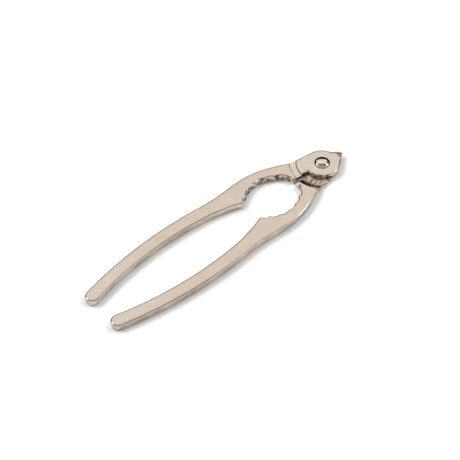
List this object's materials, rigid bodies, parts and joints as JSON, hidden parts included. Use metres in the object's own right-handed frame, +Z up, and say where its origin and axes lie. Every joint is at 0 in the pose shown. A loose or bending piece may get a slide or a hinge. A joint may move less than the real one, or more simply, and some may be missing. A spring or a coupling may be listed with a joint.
{
  "type": "nutcracker",
  "caption": "Flat plier-type nutcracker: half-lapped levers on a domed rivet, scalloped jaws that squeeze a nut, long bowed handles.",
  "frame": {"origin": "middle of the nutcracker's outline on the surface that it lies on", "axes": "+X along the nutcracker towards the pivot and nose, +Y towards the rear lever, +Z up along the rivet"},
  "size_m": [0.17, 0.0424, 0.0058],
  "materials": {
    "satin_nickel": "satin-ground warm nickel plate, bright in the hollows",
    "bright_nickel": "polished nickel plate"
  },
  "bodies": {
    "rear": {"rear_lever": "satin_nickel", "pivot_rivet": "bright_nickel"},
    "front": {"front_lever": "satin_nickel"}
  },
  "joints": [
    {"name": "lever_swing", "type": "hinge", "parent": "rear", "child": "front", "pos_m": [0.0704, 0, 0.002], "axis": [0, 0, 1], "range_deg": [-4.8, 260]}
  ]
}
